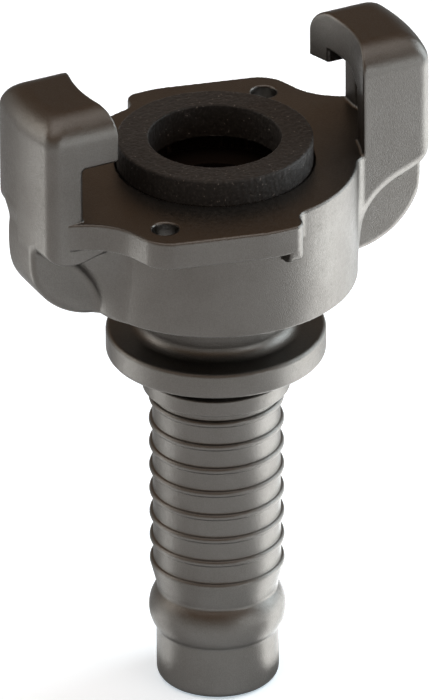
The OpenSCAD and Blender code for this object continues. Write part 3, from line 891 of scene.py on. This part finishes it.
class COUPLING_OT_body(bpy.types.Operator):
    """Makes the cast body: the head from a distance function, the tail and bore turned from their section"""
    bl_idname = "coupling.make_body"
    bl_label = "Cast body"

    def execute(self, context):
        props = context.scene.coupling
        s, t = millimetres(props.head), millimetres(props.tail)
        points, triangles, normals, rim = cast_head(s)
        points[:, 2] += s["face_z"]
        turns, seam, mouth_edge, bore_r = 144, 0.6, 0.3, s["bore_d"] / 2
        join_z = points[rim[0], 2] - seam
        section = np.concatenate([
            line(bore_r, join_z, bore_r, mouth_edge, steps=4, trim=0.0)[:-1],
            arc(bore_r + mouth_edge, mouth_edge, mouth_edge, 180, 270, 5), tail_section(t, s, join_z)])
        turned, turned_normals = lathe(section, turns)
        base = len(points)
        quads = lathe_quads(len(section), turns) + base
        points = np.concatenate([points, turned])
        normals = np.concatenate([normals, turned_normals])
        bore_ring = base + np.arange(turns)
        neck_ring = base + (len(section) - 1) * turns + np.arange(turns)
        on_neck = np.hypot(points[rim, 0], points[rim, 1]) > (s["bore_d"] + s["neck_d"]) / 4
        triangles = np.concatenate([triangles, zip_rings(points, neck_ring, rim[on_neck]),
                                    zip_rings(points, bore_ring, rim[~on_neck])[:, ::-1]])
        body = new_mesh("coupling_casting", points, quads, triangles, normals)
        body.data.materials.append(steel_material(props.finish))
        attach(body, "root")
        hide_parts("coupling_body")
        return {"FINISHED"}


class COUPLING_OT_gasket(bpy.types.Operator):
    """Makes the gasket: a ring with a lip, turned from its section, with fine creases pressed into it"""
    bl_idname = "coupling.make_gasket"
    bl_label = "Gasket"

    def execute(self, context):
        props = context.scene.coupling
        s, g = millimetres(props.head), millimetres(props.gasket)
        section = gasket_section(g, s["face_z"] - s["seat_depth"], s["face_z"] + g["proud"])
        turns = 420
        ring, outward = lathe(section, turns)
        pressed = 0.055 * creases(ring, 1.9, 5) + 0.03 * creases(ring, 0.9, 6)
        ring = ring - outward * pressed[:, None]
        piece = new_mesh("gasket_ring", ring, lathe_quads(len(section), turns, closed=True))
        piece.data.materials.append(rubber_material(props.finish))
        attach(piece, "root")
        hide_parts("gasket")
        return {"FINISHED"}


class COUPLING_OT_stage(bpy.types.Operator):
    """Makes the pale floor, the room's light, the lamps and the camera"""
    bl_idname = "coupling.make_stage"
    bl_label = "Stage"

    def execute(self, context):
        scene, finish = context.scene, context.scene.coupling.finish
        scene.view_settings.view_transform = "Standard"
        half = 60
        corners = [(-half, -half, 0), (half, -half, 0), (half, half, 0), (-half, half, 0)]
        floor_mesh = bpy.data.meshes.new("floor")
        floor_mesh.from_pydata(corners, [], [(0, 1, 2, 3)])
        floor_mesh.materials.append(floor_material(finish))
        floor = bpy.data.objects.new("floor", floor_mesh)
        scene.collection.objects.link(floor)
        room_light(finish)
        aim = (0.0, 0.0, 0.06)
        for name, place, width, height, power, colour in (
                ("lamp_right", spot(0.32, 0.12, 0.17), 0.30, 0.30, 1.5, (0.80, 0.92, 1.0)),
                ("lamp_front_right", spot(0.45, -0.35, 0.12), 0.30, 0.20, 0.5, (0.88, 0.95, 1.0)),
                ("lamp_left", spot(-0.30, 0.03, 0.18), 0.16, 0.26, 0.30, (1.0, 1.0, 0.97)),
                ("lamp_top", spot(0.0, -0.15, 0.95), 1.2, 1.0, 4.0, (0.97, 0.98, 1.0))):
            look(area_lamp(name, width, height, power, colour), place, aim)
        for name, low, high, radiance in (
                ("card_right", (0.08, -0.035), (0.36, 0.25), 6.4),
                ("card_right_near", (0.011, -0.006), (0.08, 0.06), 6.6),
                ("card_left", (-0.30, -0.02), (-0.09, 0.05), 3.2),
                ("card_left_near", (-0.09, -0.006), (-0.012, 0.012), 2.6)):
            card_lamp(name, low, high, radiance)
        data = bpy.data.cameras.new("camera")
        data.lens, data.sensor_width, data.sensor_fit = 1000.0, 36.0, "AUTO"
        data.clip_start, data.clip_end = 0.1, 200.0
        camera = bpy.data.objects.new("camera", data)
        level, fall = 0.8805, -0.4746
        down = (AHEAD[0] * level, AHEAD[1] * level, fall)
        middle, far_back = (0.0, 0.0, 0.0567), 3.0016
        place = tuple(m - far_back * d for m, d in zip(middle, down))
        look(camera, place, middle, roll=math.radians(-0.34))
        scene.collection.objects.link(camera)
        scene.camera = camera
        return {"FINISHED"}


class CouplingSettings(bpy.types.PropertyGroup):
    head: bpy.props.PointerProperty(type=HeadSizes)
    tail: bpy.props.PointerProperty(type=TailSizes)
    gasket: bpy.props.PointerProperty(type=GasketSizes)
    finish: bpy.props.PointerProperty(type=Finish)


class COUPLING_PT_panel(bpy.types.Panel):
    """Sizes, colours and operators of the coupling"""
    bl_idname = "COUPLING_PT_panel"
    bl_label = "Hose coupling"
    bl_space_type = "VIEW_3D"
    bl_region_type = "UI"
    bl_category = "Coupling"

    def draw(self, context):
        props = context.scene.coupling
        for group in (props.head, props.tail, props.gasket, props.finish):
            box = self.layout.box()
            for name in group.__annotations__:
                box.prop(group, name)
        for operator in OPERATORS:
            self.layout.operator(operator.bl_idname)


OPERATORS = (COUPLING_OT_body, COUPLING_OT_gasket, COUPLING_OT_stage)
CLASSES = (HeadSizes, TailSizes, GasketSizes, Finish, CouplingSettings) + OPERATORS + (COUPLING_PT_panel,)


def register():
    """Registers the classes and hangs the settings on the scene."""
    for cls in CLASSES:
        bpy.utils.register_class(cls)
    bpy.types.Scene.coupling = bpy.props.PointerProperty(type=CouplingSettings)


def unregister():
    """Undoes what register does."""
    del bpy.types.Scene.coupling
    for cls in reversed(CLASSES):
        bpy.utils.unregister_class(cls)


def main():
    """Makes the stage, the body and the gasket."""
    register()
    bpy.ops.coupling.make_stage()
    bpy.ops.coupling.make_body()
    bpy.ops.coupling.make_gasket()


if __name__ == "__main__":
    main()
